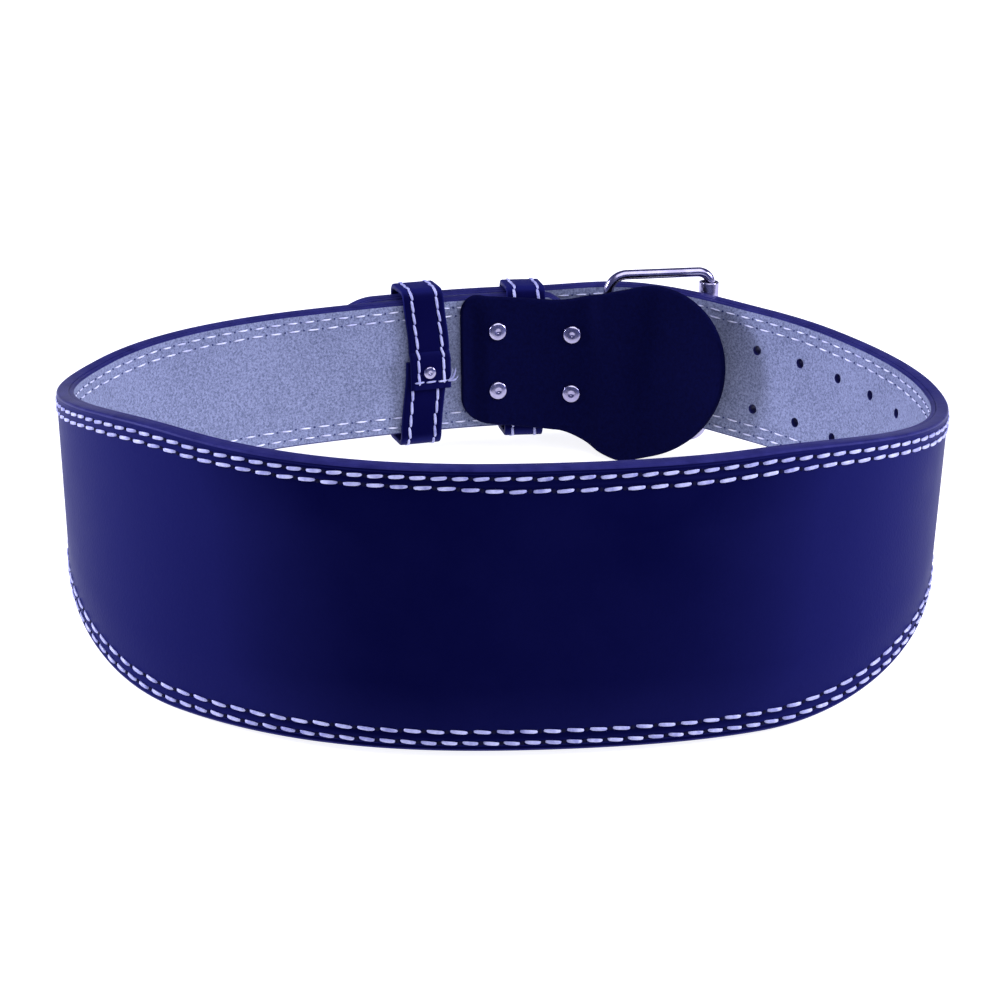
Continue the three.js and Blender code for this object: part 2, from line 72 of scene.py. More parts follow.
OVERLAP_REACHED = 0.4

# How the standing belt leans back, and where its own origin then is
BACK_TILT = math.radians(4.253548)
SEAT = (-2.731850, -8.043838, 43.218389)

# Places behind the belt, from the middle of the back towards +X
HINGE_AT = 41.0
ROLLER_AT = 76.5
TIP_AT = -77.0
TIP_LENGTH = 24.0
LINING_END_AT = 35.0
BUCKLE_END_FROM = 15.0
BUCKLE_END_TO = 25.0
RIDE_UP = 2.6
RIDE_UP_FROM = 8.0
RIDE_UP_MOST = 48.0
RIDE_UP_TO = 104.0
FOLD_LIFT_AT = 33.0
FOLD_RETURN_AT = 18.0
FOLD_RETURN = 2.6
SLOT_START_AT = 33.0
SLOT_HEIGHT = 4.6

# Holes and buckle
HOLE_COUNT = 11
HOLE_PITCH = 21.9
FIRST_HOLE_AT = 191.4
BUCKLED_HOLE = 6
HOLE_RISE = 2.2
HOLE_ROWS = 24.1
HOLE_DIAMETER = 3.7
WIRE = 3.9
PRONG = 2.9
FRAME_HEIGHT = 67.9
FRAME_RISE = 5.0
HINGE_CORNER = 7.0
ROLLER_CORNER = 5.3
ROLLER_INSET = 4.1
ROLLER = 8.0
TURNING_GAP = 0.35
PART_GAP = 0.3
PRONG_ROUTE = ((42, -3.2), (48, -2.4), (54.5, 0.2), (60, 4), (65, 9), (69.5, 14.6), (74, 18.1),
               (78.5, 18.7), (83.5, 18))

# Guard flap
FLAP = 3.0
FLAP_START_AT = -21.2
FLAP_TOP = 31.0
FLAP_TOP_SLOPE = -0.08
FLAP_BOTTOM = -21.6
FLAP_BOTTOM_SLOPE = -0.115
FLAP_TOP_CORNER = 8.5
FLAP_BOTTOM_CORNER = 9.0
FLAP_WAIST_AT = 18.0
FLAP_DISC_AT = 56.0
FLAP_DISC_RISE = 1.1
FLAP_DISC_RADIUS = 35.8
FLAP_DISC_REACH = 40.0
FLAP_DISC_SKEW = 4.8
FLAP_LIFT = 2.8
FLAP_LIFT_AT = 32.6
FLAP_RETURN = 4.7
FLAP_RETURN_AT = 47.6
FLAP_RETURN_RUN = 16.0

# Keepers and rivets
KEEPER = 2.1
KEEPER_CLEAR_OUTSIDE = 1.1
KEEPER_CORNER = 5.0
KEEPER_LAP = 12.0
FIXED_KEEPER = {"at": 6.5, "width": 15.5, "clear": 0.8, "height": 62.0, "rise": 2.5}
SLIDING_KEEPER = {"at": -35.5, "width": 16.6, "clear": 0.9, "height": 64.0, "rise": 3.0}
LAP_END = -8.2
RIVET_COLUMNS = ({"at": -6.4, "up": 5.75}, {"at": 26.2, "up": 3.8})
RIVET_ROWS = 24.3
KEEPER_RIVET_OVER_LAP_END = 7.9
RIVET_HEAD = 7.4
RIVET_DOME = 1.3
RIVET_CAP = 6.0
RIVET_CAP_THICKNESS = 0.9
KEEPER_RIVET_HEAD = 5.2
KEEPER_RIVET_DOME = 1.1

# Sewing: each row's distance from the edge, the pitch of its needle holes, how far it drifts in the middle
SEWN_FROM_AT = 33.0
OUTER_THREAD = {"width": 1.35, "height": 1.1}
INNER_THREAD = {"width": 0.65, "height": 0.5}
KEEPER_THREAD = {"width": 1.15, "height": 0.8}
KEEPER_SEWING = {"from_edge": 3.1, "pitch": 5.2}
SEWING_ROWS = (
    {"from_top": 3.3, "from_bottom": 3.1, "pitch": 7.02, "drift": 0.2},
    {"from_top": 6.6, "from_bottom": 7.1, "pitch": 7.87, "drift": 1.2},
)

random.seed(7)


# Route of the belt: a closed plan line with a distance along it

def mix(low, high, share):
    return low + (high - low) * share


def smooth(value, low, high):
    share = min(max((value - low) / (high - low), 0.0), 1.0)
    return share * share * (3.0 - 2.0 * share)


def stations(start, end, pitch):
    """Even steps between two places, no longer than the pitch."""
    count = max(math.ceil(abs(end - start) / pitch), 1)
    return [mix(start, end, step / count) for step in range(count + 1)]


def plan_outline(steps=1440):
    points = []
    for step in range(steps):
        bearing = 2 * math.pi * step / steps
        share = 1.0
        for row in OUTLINE_WAVES:
            share += row["cosine"] * math.cos(row["wave"] * bearing)
            share += row["sine"] * math.sin(row["wave"] * bearing)
        radius = MEAN_RADIUS * share
        points.append(Vector((radius * math.sin(bearing), -radius * math.cos(bearing), 0.0)))
    return points


def reach_along(points):
    """Distance from the start of a closed line to each of its points, and round to the start again."""
    reach = [0.0]
    for index, point in enumerate(points):
        reach.append(reach[-1] + (points[(index + 1) % len(points)] - point).length)
    return reach


OUTLINE = plan_outline()
OUTLINE_REACH = reach_along(OUTLINE)
LOOP = OUTLINE_REACH[-1]


def under(at):
    """Distance along the belt of a place on its left end, the one that holds the buckle."""
    return -LOOP / 2 - at


def over(at):
    """Distance along the belt of a place on its right end, which passes through the buckle."""
    return LOOP / 2 - at


def shoulder(along):
    return smooth(abs(along - PANEL_MIDDLE), SHOULDER_START, SHOULDER_END)


def narrowed(along):
    """How far the strap has narrowed, 0 in the panel and 1 in the ends; its right side tails off longer."""
    reach = along - PANEL_MIDDLE
    if reach < 0:
        return shoulder(along)
    return mix(smooth(reach, SHOULDER_START, RIGHT_SHOULDER_END),
               smooth(reach, RIGHT_TAIL_START, RIGHT_TAIL_END), RIGHT_TAIL)


def half_width(along):
    strap_half = mix(PANEL_WIDTH, STRAP_WIDTH, narrowed(along)) / 2
    return mix(strap_half, BUCKLE_END_WIDTH / 2, smooth(-LOOP / 2 - along, BUCKLE_END_FROM, BUCKLE_END_TO))


def riding_up(along):
    """The free end rides up a little where it passes over the fold."""
    at = LOOP / 2 - along
    return RIDE_UP * smooth(at, RIDE_UP_FROM, RIDE_UP_MOST) * (1 - smooth(at, RIDE_UP_MOST, RIDE_UP_TO))


def middle_height(along):
    return NARROW_RISE * narrowed(along) + riding_up(along)


def wall_lean(along):
    return mix(PANEL_LEAN, BACK_LEAN, shoulder(along))


def spiral_step(along):
    return OVERLAP_STEP * smooth(along, 0.0, OVERLAP_REACHED * LOOP)


def outline_at(along):
    """Point and tangent of the plan line."""
    wrapped = along % LOOP
    low = min(bisect.bisect_right(OUTLINE_REACH, wrapped) - 1, len(OUTLINE) - 1)
    share = (wrapped - OUTLINE_REACH[low]) / (OUTLINE_REACH[low + 1] - OUTLINE_REACH[low])
    count = len(OUTLINE)
    start, end = OUTLINE[low], OUTLINE[(low + 1) % count]
    before = end - OUTLINE[low - 1]
    after = OUTLINE[(low + 2) % count] - start
    return start.lerp(end, share), before.lerp(after, share).normalized()


def wall_at(along):
    """The wall's directions: along it, level outwards, up it and square outwards."""
    point, tangent = outline_at(along)
    level = Vector((tangent.y, -tangent.x, 0.0))
    up = (level * wall_lean(along) + Vector((0, 0, 1))).normalized()
    return tangent, level, up, tangent.cross(up)


def place(along, out, height):
    point, tangent = outline_at(along)
    level = Vector((tangent.y, -tangent.x, 0.0))
    spot = point + level * (out + wall_lean(along) * height)
    spot.z = height
    return spot


STAND = Matrix.Translation(Vector(SEAT) * MM) @ Matrix.Rotation(-BACK_TILT, 4, "X") @ Matrix.Scale(MM, 4)

# The hinge bar inside the fold, and the roller's bar outside both ends of the strap
HINGE_OUT = -(LEATHER + TURNING_GAP + WIRE / 2)
ROLLER_OUT = OVERLAP_STEP + PART_GAP + ROLLER / 2
HINGE_TANGENT, HINGE_LEVEL, HINGE_UP, HINGE_OUTWARD = wall_at(under(HINGE_AT))
ONWARDS = -HINGE_TANGENT


def hole_along(hole):
    return over(FIRST_HOLE_AT - hole * HOLE_PITCH)


def hole_heights(hole):
    middle = HOLE_RISE + riding_up(hole_along(hole))
    return middle + HOLE_ROWS / 2, middle - HOLE_ROWS / 2


PRONG_HEIGHTS = hole_heights(BUCKLED_HOLE)


def buckle_point(share, height):
    """A point between the hinge bar and the roller's bar, at a height."""
    return place(under(HINGE_AT), HINGE_OUT, height).lerp(place(under(ROLLER_AT), ROLLER_OUT, height), share)


def flap_out(at):
    """Outer face of the guard flap, which runs over the fold and hangs free behind the window."""
    over_return = (FOLD_RETURN + PART_GAP) * smooth(at, FLAP_START_AT + 4, FLAP_START_AT + 12)
    over_fold = FLAP_LIFT * smooth(at, FLAP_LIFT_AT, HINGE_AT - 1)
    back = FLAP_RETURN * smooth(at, FLAP_RETURN_AT, FLAP_RETURN_AT + FLAP_RETURN_RUN)
    return -(BELT_THICKNESS + PLY_GAP) - over_return - over_fold + back


# Meshes: points in millimetres of the upright belt

def new_piece(name, points, faces, materials, replaces=(), paint=(), sharp=38.0):
    """A piece from its points and faces; paint gives each face's place in the list of materials."""
    mesh = bpy.data.meshes.new(name)
    mesh.from_pydata([tuple(point) for point in points], [], faces)
    for material in materials:
        mesh.materials.append(material)
    for face, number in zip(mesh.polygons, paint):
        face.material_index = number
    mesh.transform(STAND)
    piece = bpy.data.objects.new(name, mesh)
    bpy.context.scene.collection.objects.link(piece)
    shade(mesh, sharp)
    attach(piece, "root")
    if replaces:
        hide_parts(*replaces)
    return piece


def shade(mesh, sharp):
    """Turns the faces outwards and smooths them, but for edges sharper than an angle."""
    shaping = bmesh.new()
    shaping.from_mesh(mesh)
    bmesh.ops.recalc_face_normals(shaping, faces=shaping.faces)
    for face in shaping.faces:
        face.smooth = True
    for edge in shaping.edges:
        edge.smooth = len(edge.link_faces) == 2 and edge.calc_face_angle(0.0) < math.radians(sharp)
    shaping.to_mesh(mesh)
    shaping.free()


def ring_faces(ring_count, sides, meets=False, start=0):
    """Faces between rings of points, closed by a cap at each end unless the rings meet."""
    faces = []
    for band in range(ring_count if meets else ring_count - 1):
        here, there = start + band * sides, start + ((band + 1) % ring_count) * sides
        for side in range(sides):
            after = (side + 1) % sides
            faces.append((here + side, here + after, there + after, there + side))
    if not meets:
        faces.append(tuple(start + side for side in reversed(range(sides))))
        faces.append(tuple(start + (ring_count - 1) * sides + side for side in range(sides)))
    return faces


def turned(profile, spot, axes, sides=40):
    """Points of a turned part: rows of radius and rise along the third axis."""
    points = []
    for radius, rise in profile:
        for side in range(sides):
            angle = 2 * math.pi * side / sides
            points.append(spot + axes[0] * (radius * math.cos(angle)) + axes[1] * (radius * math.sin(angle))
                          + axes[2] * rise)
    return points


def wire_rings(line, radius, upright, sides=18, meets=False, shares=None):
    """Rings round a bent wire; shares thin it towards its end."""
    points = []
    count = len(line)
    for index, spot in enumerate(line):
        before = line[(index - 1) % count] if meets else line[max(index - 1, 0)]
        after = line[(index + 1) % count] if meets else line[min(index + 1, count - 1)]
        beside = (after - before).normalized().cross(upright).normalized()
        reach = radius * (shares[index] if shares else 1.0)
        for side in range(sides):
            angle = 2 * math.pi * side / sides
            points.append(spot + upright * (reach * math.cos(angle)) + beside * (reach * math.sin(angle)))
    return points


def even_line(points, pitch):
    """A smooth line through points, in even steps."""
    padded = [points[0] * 2 - points[1], *points, points[-1] * 2 - points[-2]]
    dense = []
    for a, b, c, d in zip(padded, padded[1:], padded[2:], padded[3:]):
        for step in range(20):
            t = step / 20
            dense.append(0.5 * (2 * b + (c - a) * t + (2 * a - 5 * b + 4 * c - d) * t * t
                                + (3 * b - a - 3 * c + d) * t ** 3))
    dense.append(points[-1].copy())
    reach = [0.0]
    for first, second in zip(dense, dense[1:]):
        reach.append(reach[-1] + (second - first).length)
    line = []
    for goal in stations(0.0, reach[-1], pitch):
        low = min(max(bisect.bisect_right(reach, goal) - 1, 0), len(dense) - 2)
        share = (goal - reach[low]) / max(reach[low + 1] - reach[low], 1e-9)
        line.append(dense[low].lerp(dense[low + 1], min(share, 1.0)))
    return line


def cut_with(piece, points, faces, sharp=38.0):
    """Cuts a closed shape out of a piece; the walls of the cut take the piece's second material."""
    tool_mesh = bpy.data.meshes.new("cutter")
    tool_mesh.from_pydata([tuple(point) for point in points], [], faces)
    for material in piece.data.materials:
        tool_mesh.materials.append(material)
    for face in tool_mesh.polygons:
        face.material_index = 1
    tool_mesh.transform(STAND)
    shade(tool_mesh, sharp)
    tool = bpy.data.objects.new("cutter", tool_mesh)
    bpy.context.scene.collection.objects.link(tool)
    cut = piece.modifiers.new("cut", "BOOLEAN")
    cut.operation = "DIFFERENCE"
    cut.solver = "EXACT"
    cut.object = tool
    cut_mesh = bpy.data.meshes.new_from_object(piece.evaluated_get(bpy.context.evaluated_depsgraph_get()))
    piece.modifiers.clear()
    piece.data = cut_mesh
    bpy.data.objects.remove(tool)
    bpy.data.meshes.remove(tool_mesh)
    shade(cut_mesh, sharp)


# Materials

def hex_colour(code):
    """Linear colour, with full alpha, from an sRGB hex code."""
    channels = [int(code[start:start + 2], 16) / 255 for start in (1, 3, 5)]
    return (*[c / 12.92 if c <= 0.04045 else ((c + 0.055) / 1.055) ** 2.4 for c in channels], 1.0)


def new_material(name, **sockets):
    """A material with its shader's own values; returns it with its node tree, shader and object place."""
    material = bpy.data.materials.new(name)
    material.use_nodes = True
    tree = material.node_tree
    shader = tree.nodes["Principled BSDF"]
    for socket, value in sockets.items():
        shader.inputs[socket.replace("_", " ")].default_value = value
    return material, tree, shader, add_node(tree, "ShaderNodeTexCoord").outputs["Object"]


def add_node(tree, kind, inputs=None, **settings):
    """Adds a node, sets its properties, and sets or links its inputs."""
    node = tree.nodes.new(kind)
    for setting, value in settings.items():
        setattr(node, setting, value)
    for socket, value in (inputs or {}).items():
        if isinstance(value, bpy.types.NodeSocket):
            tree.links.new(value, node.inputs[socket])
        else:
            node.inputs[socket].default_value = value
    return node


def ramp(tree, factor, *stops):
    """A colour ramp over a factor; each stop is a place and a hex colour or a plain value."""
    node = add_node(tree, "ShaderNodeValToRGB", {"Fac": factor})
    elements = node.color_ramp.elements
    while len(elements) < len(stops):
        elements.new(0.5)
    for element, (spot, shade_of) in zip(elements, stops):
        element.position = spot
        element.color = hex_colour(shade_of) if isinstance(shade_of, str) else (*[shade_of] * 3, 1.0)
    return node.outputs["Color"]


def per_metre(millimetres):
    """Scale of a texture that repeats about once in a real length."""
    return 1000.0 / millimetres


def noise(tree, spot, millimetres, detail=5.0, roughness=0.6):
    return add_node(tree, "ShaderNodeTexNoise", {
        "Vector": spot, "Scale": per_metre(millimetres), "Detail": detail, "Roughness": roughness,
    }).outputs["Fac"]


def add_relief(tree, shader, height, strength, millimetres):
    bump = add_node(tree, "ShaderNodeBump", {"Height": height, "Strength": strength,
                                             "Distance": millimetres * MM})
    tree.links.new(bump.outputs["Normal"], shader.inputs["Normal"])


def pressed_leather(name, dark, light, painted_sheen_colour, gloss):
    """Full-grain cowhide, drum-dyed, pressed smooth and finished with wax: a satin face over a very fine grain.

    Painted sheen: the base colour turns a paler blue where the face is seen along its surface, standing in for
    bluish light reflected at grazing angles.
    The grain's pores are about 0.3 mm and would not show, so they are drawn at 0.9 mm.
    """
    material, tree, shader, spot = new_material(name, IOR=1.5, Specular_IOR_Level=0.02,
                                                Specular_Tint=hex_colour("#8d90ff"))
    clouds = noise(tree, spot, 55)
    dye = ramp(tree, clouds, (0.3, dark), (0.72, light))
    slant = add_node(tree, "ShaderNodeLayerWeight", {"Blend": 0.5}).outputs["Facing"]
    # Painted sheen: the dye is mixed towards a paler blue as the face is seen more along its surface
    painted_sheen_amount = ramp(tree, slant, (0.08, 0.0), (0.25, 0.5), (0.5, 0.68), (0.85, 0.8))
    dye_and_painted_sheen = add_node(tree, "ShaderNodeMix", {0: painted_sheen_amount, 6: dye, 7: hex_colour(painted_sheen_colour)}, data_type="RGBA")
    tree.links.new(dye_and_painted_sheen.outputs[2], shader.inputs["Base Color"])
    tree.links.new(ramp(tree, clouds, (0.3, gloss), (0.7, gloss + 0.1)), shader.inputs["Roughness"])
    pores = add_node(tree, "ShaderNodeTexVoronoi", {"Vector": spot, "Scale": per_metre(0.9)},
                     feature="SMOOTH_F1")
    creases = noise(tree, spot, 6, detail=8.0)
    relief = add_node(tree, "ShaderNodeMath", {0: pores.outputs["Distance"], 1: creases}, operation="ADD")
    add_relief(tree, shader, relief.outputs[0], 0.14, 0.35)
    return material


def edge_paint():
    """Acrylic edge paint, rolled on the cut edge and rubbed down: a lighter, slightly streaky band."""
    material, tree, shader, spot = new_material("acrylic_edge_paint", IOR=1.47, Roughness=0.45,
                                                Specular_IOR_Level=0.12, Specular_Tint=hex_colour("#8d90ff"))
    streaks = noise(tree, spot, 8, detail=8.0, roughness=0.7)
    tree.links.new(ramp(tree, streaks, (0.3, "#18184b"), (0.7, "#2a2a64")), shader.inputs["Base Color"])
    add_relief(tree, shader, streaks, 0.4, 0.5)
    return material


def split_suede(name, dark, light, nap_mm, depth, rim):
    """Split cowhide, buffed to a short nap: matte and mottled, with a soft rim of light.

    The nap's fibres are about 0.1 mm thick and would not show, so they are drawn in tufts.
    """
    material, tree, shader, spot = new_material(name, IOR=1.45, Roughness=0.95, Sheen_Weight=rim,
                                                Sheen_Roughness=0.6, Specular_IOR_Level=0.05)
    mottle = noise(tree, spot, 24)
    tufts = noise(tree, spot, nap_mm, detail=6.0, roughness=0.8)
    both = add_node(tree, "ShaderNodeMix", {0: 0.9, 2: mottle, 3: tufts}, data_type="FLOAT").outputs[0]
    tree.links.new(ramp(tree, both, (0.38, dark), (0.6, light)), shader.inputs["Base Color"])
    add_relief(tree, shader, tufts, 0.5, depth)
    return material


def nickel_plate():
    """Steel, barrel-polished and nickel-plated: bright, faintly tarnished and a little uneven."""
    material, tree, shader, spot = new_material("nickel_plated_steel", Metallic=1.0, Roughness=0.18)
    tarnish = noise(tree, spot, 7)
    tree.links.new(ramp(tree, tarnish, (0.3, "#8a84a8"), (0.7, "#b4b0cc")), shader.inputs["Base Color"])
    tree.links.new(ramp(tree, tarnish, (0.3, 0.13), (0.75, 0.28)), shader.inputs["Roughness"])
    add_relief(tree, shader, noise(tree, spot, 3), 0.08, 0.1)
    return material


def bonded_thread(name, dark, light):
    """Bonded nylon thread, twisted and waxed: white, faintly soiled by the dye, with a soft sheen."""
    material, tree, shader, spot = new_material(name, IOR=1.53, Roughness=0.4)
    soil = noise(tree, spot, 4)
    tree.links.new(ramp(tree, soil, (0.3, dark), (0.62, light)), shader.inputs["Base Color"])
    add_relief(tree, shader, noise(tree, spot, 0.8), 0.4, 0.2)
    return material


def needle_hole(name, dark, light):
    """Painted shade of a needle hole: darker than the face round it, with a little tone."""
    material, tree, shader, spot = new_material(name, Roughness=0.9, Specular_IOR_Level=0.1)
    tree.links.new(ramp(tree, noise(tree, spot, 1), (0.3, dark), (0.7, light)), shader.inputs["Base Color"])
    return material


def studio_floor():
    """Opal acrylic of a light table, matte, nearly white and softly lit from below."""
    material, tree, shader, spot = new_material("opal_acrylic", Roughness=0.9, Specular_IOR_Level=0.1,
                                                Emission_Color=hex_colour("#ffffff"), Emission_Strength=0.88)
    tree.links.new(ramp(tree, noise(tree, spot, 12), (0.3, "#b8b8bc"), (0.7, "#c0c0c4")),
                   shader.inputs["Base Color"])
    return material


# The third colour of each leather is its painted sheen, shown where the face turns away from view
BELT_LEATHER = pressed_leather("pressed_navy_cowhide", "#03042c", "#070833", "#1a1c58", 0.4)
KEEPER_LEATHER = pressed_leather("keeper_navy_cowhide", "#04042c", "#090936", "#1a1c58", 0.42)
EDGE_PAINT = edge_paint()
LINING_SUEDE = split_suede("lilac_split_suede", "#4e5571", "#8b92b2", 0.9, 0.4, 0.1)
FLAP_LEATHER = split_suede("brushed_navy_leather", "#020223", "#04062f", 1.1, 0.25, 0.0)
NICKEL = nickel_plate()
THREAD = bonded_thread("bonded_nylon_thread", "#6e70ac", "#b0b2da")
BOBBIN_THREAD = bonded_thread("bonded_bobbin_thread", "#a9abd6", "#dcdef4")
# Painted shade for the needle holes, one on the leather and one on the suede
HOLE_SHADE_ON_LEATHER = needle_hole("painted_hole_shade_on_leather", "#030316", "#0a0a30")
HOLE_SHADE_ON_SUEDE = needle_hole("painted_hole_shade_on_suede", "#262c56", "#3d4474")


# Strap plies

def ply_profile(half, thickness, arris, inner_arris, channels):
    """Section of a ply as rows of depth and height, from the outer face's top edge round and back.

    The channels are rows of distance from the edge, depth and half width, pressed into the outer face.
    """
    squeeze = min(1.0, half / 14.0)
    marks = [(arris, 0.0)]
    for from_edge, depth, reach in channels:
        marks += [(from_edge - reach, 0.0), (from_edge, depth), (from_edge + reach, 0.0)]
    marks = [(from_edge * squeeze, depth) for from_edge, depth in marks]
    arris *= squeeze
    inner_arris *= squeeze
    outer = [(depth, half - from_edge) for from_edge, depth in marks]
    spare = outer[-1][1]
    rows = outer + [(0.0, spare * share) for share in (0.6, 0.2, -0.2, -0.6)]
    rows += [(depth, -height) for depth, height in reversed(outer)]
    turns = [math.radians(angle) for angle in (22.5, 45.0, 67.5, 90.0)]
    outer_round = [(arris * (1 - math.cos(turn)), half - arris + arris * math.sin(turn)) for turn in turns]
    inner_round = [(thickness - inner_arris + inner_arris * math.sin(turn),
                    half - inner_arris + inner_arris * math.cos(turn)) for turn in (0.0, *turns)]
    rows += [(depth, -height) for depth, height in outer_round + inner_round]
    rows += [(thickness, (half - inner_arris) * share) for share in (-0.5, 0.0, 0.5)]
    rows += list(reversed(outer_round + inner_round))
    return rows


def edge_sides(outer_count):
    """Numbers of the profile's sides that lie on the two cut edges, for the edge paint."""
    lower = range(outer_count - 1, outer_count + 8)
    upper = range(outer_count + 12, outer_count + 21)
    return set(lower) | set(upper)


def tip_stations(inset):
    """Rows of distance along and share of the half width, round the free end."""
    rows = []
    for step in range(1, 25):
        angle = math.radians(88.5) * step / 24
        rows.append((over(TIP_AT + TIP_LENGTH - (TIP_LENGTH - inset) * math.sin(angle)), math.cos(angle)))
    return rows


def strap_ring(along, out, inset, share, profile_of):
    half = half_width(along) * share - inset
    face = out + spiral_step(along)
    middle = middle_height(along)
    return [place(along, face - depth, middle + height) for depth, height in profile_of(half)]


def paint_rings(ring_count, sides, painted):
    return [1 if side in painted else 0 for _ in range(ring_count - 1) for side in range(sides)] + [1, 1]


def strap_holes():
    """Cutters of the adjustment holes, square through both plies."""
    points, faces = [], []
    for hole in range(HOLE_COUNT):
        along = hole_along(hole)
        tangent, level, up, outward = wall_at(along)
        for height in hole_heights(hole):
            middle = place(along, spiral_step(along) - BELT_THICKNESS / 2, height)
            rim = HOLE_DIAMETER / 2
            profile = [(rim + 2.0, -9.0), (rim + 0.25, -BELT_THICKNESS / 2 - 0.05), (rim, -BELT_THICKNESS / 2 + 0.4),
                       (rim, BELT_THICKNESS / 2 - 0.4), (rim + 0.25, BELT_THICKNESS / 2 + 0.05), (rim + 2.0, 9.0)]
            faces += ring_faces(len(profile), 20, start=len(points))
            points += turned(profile, middle, (tangent, up, outward), 20)
    return points, faces


def prong_slots():
    """Cutters of the two slots in the fold, in which the prongs swing."""
    points, faces = [], []
    for height in PRONG_HEIGHTS:
        sections = []
        for step in (0.05, 0.5, 1.2, 2.3, 6.0, 10.0, 14.0, 18.0, 22.0):
            at = SLOT_START_AT + step
            lag = max(0.0, 1.0 - step / (SLOT_HEIGHT / 2))
            half = SLOT_HEIGHT / 2 * math.sqrt(1.0 - lag * lag)
            for out, side in ((5.0, half), (5.0, -half), (-20.0, -half), (-20.0, half)):
                sections.append(place(under(at), out, height + side))
        faces += ring_faces(len(sections) // 4, 4, start=len(points))
        points += sections
    return points, faces


def make_main_strap():
    """The leather ply: turned back, round the hinge bar, once round the loop, and on to the tip."""
    channels = [(1.9, 0.16, 0.4)] + [(row["from_top"], 0.22, 0.75) for row in SEWING_ROWS]

    def profile_of(half):
        return ply_profile(half, LEATHER, 0.9, 0.35, channels)

    inner_radius = WIRE / 2 + TURNING_GAP
    strap = profile_of(BUCKLE_END_WIDTH / 2)
    rings = []
    for at in stations(FOLD_RETURN_AT, HINGE_AT, 2.4):
        out = mix(-(BELT_THICKNESS + PLY_GAP), HINGE_OUT - inner_radius, smooth(at, FOLD_LIFT_AT, HINGE_AT))
        thickness = FOLD_RETURN * mix(0.45, 1.0, smooth(at, FOLD_RETURN_AT, FOLD_RETURN_AT + 6))
        rings.append([place(under(at), out - thickness * (1 - depth / LEATHER), NARROW_RISE + height)
                      for depth, height in strap])
    for step in range(1, 20):
        angle = math.pi * step / 20
        thickness = mix(FOLD_RETURN, LEATHER, step / 20)
        heading = ONWARDS * math.sin(angle) - HINGE_LEVEL * math.cos(angle)
        rings.append([buckle_point(0, NARROW_RISE + height)
                      + heading * (inner_radius + thickness * (1 - depth / LEATHER))
                      for depth, height in strap])
    for along in stations(under(HINGE_AT), over(TIP_AT + TIP_LENGTH), 2.4):
        rings.append(strap_ring(along, 0.0, 0.0, 1.0, profile_of))
    for along, share in tip_stations(0.0):
        rings.append(strap_ring(along, 0.0, 0.0, share, profile_of))
    sides = len(strap)
    outer_count = sides - 21
    points = [point for ring in rings for point in ring]
    piece = new_piece("main_strap", points, ring_faces(len(rings), sides),
                      [BELT_LEATHER, EDGE_PAINT], ["belt_body"],
                      paint_rings(len(rings), sides, edge_sides(outer_count)))
    cut_with(piece, *strap_holes())
    cut_with(piece, *prong_slots())
    return piece


def make_lining():
    """The suede ply, sewn in flush with the leather's edges, which are painted together."""
    channels = [(row["from_top"], -0.02, 0.5) for row in SEWING_ROWS]

    def profile_of(half):
        return [(SUEDE - depth, height) for depth, height in ply_profile(half, SUEDE, 0.55, 0.2, channels)]

    rings = []
    out = -(LEATHER + PLY_GAP * 0.2)
    for along in stations(under(LINING_END_AT), over(TIP_AT + TIP_LENGTH), 2.4):
        rings.append(strap_ring(along, out, SUEDE_INSET, 1.0, profile_of))
    for along, share in tip_stations(SUEDE_INSET):
        rings.append(strap_ring(along, out, SUEDE_INSET, share, profile_of))
    sides = len(rings[0])
    points = [point for ring in rings for point in ring]
    piece = new_piece("suede_ply", points, ring_faces(len(rings), sides),
                      [LINING_SUEDE, EDGE_PAINT], ["suede_lining"],
                      paint_rings(len(rings), sides, edge_sides(sides - 21)))
    cut_with(piece, *strap_holes())
    return piece


# Sewing

def sewing_route(row):
    """Line of a row of sewing as distances along and heights: top edge, round the tip, bottom edge."""
    from_top, from_bottom = row["from_top"], row["from_bottom"]
    straight = stations(under(SEWN_FROM_AT), over(TIP_AT + TIP_LENGTH), 3.0)
    route = []
    for along in straight:
        drift = row["drift"] * smooth(along, -20.0, 10.0) * (1 - smooth(along, 60.0, 150.0))
        route.append((along, middle_height(along) + half_width(along) - from_top - drift))
    for step in range(1, 24):
        angle = math.pi * step / 24
        inset = mix(from_top, from_bottom, step / 24)
        along = over(TIP_AT + TIP_LENGTH - (TIP_LENGTH - inset) * math.sin(angle))
        route.append((along, NARROW_RISE + (STRAP_WIDTH / 2 - inset) * math.cos(angle)))
    for along in reversed(straight):
        route.append((along, middle_height(along) - half_width(along) + from_bottom))
    return route


def walk(route, spots, pitch):
    """Marks at an even pitch on a route whose points lie at the spots."""
    reach = [0.0]
    for first, second in zip(spots, spots[1:]):
        reach.append(reach[-1] + (second - first).length)

    def mark_at(goal):
        goal = min(max(goal, 0.0), reach[-1])
        low = min(max(bisect.bisect_right(reach, goal) - 1, 0), len(reach) - 2)
        share = (goal - reach[low]) / max(reach[low + 1] - reach[low], 1e-9)
        return tuple(mix(a, b, share) for a, b in zip(route[low], route[low + 1]))

    return mark_at, [step * pitch for step in range(int(reach[-1] / pitch) + 1)]


def thread_stitch(spot_of, frame_of, thread, gap, slant, sides=10, rings=9):
    """One stitch of two-ply thread: it dips into its needle holes and stands proud between them."""
    points = []
    for ring in range(rings):
        share = ring / (rings - 1)
        swell = math.sqrt(max(1.0 - abs(2 * share - 1) ** 3.2, 0.0))
        spot, across, out = frame_of(mix(gap, 1 - gap, share))
        half_wide = thread["width"] / 2 * max(swell, 0.3)
        half_high = thread["height"] / 2 * max(swell, 0.35)
        rise = thread["height"] * (0.35 * swell - 0.42 * (1 - swell))
        for side in range(sides):
            angle = 2 * math.pi * side / sides
            furrow = 0.58 + 0.42 * abs(math.cos(angle))
            points.append(spot + across * (half_wide * math.cos(angle) + slant * (share - 0.5))
                          + out * (rise + half_high * furrow * math.sin(angle)))
    return points


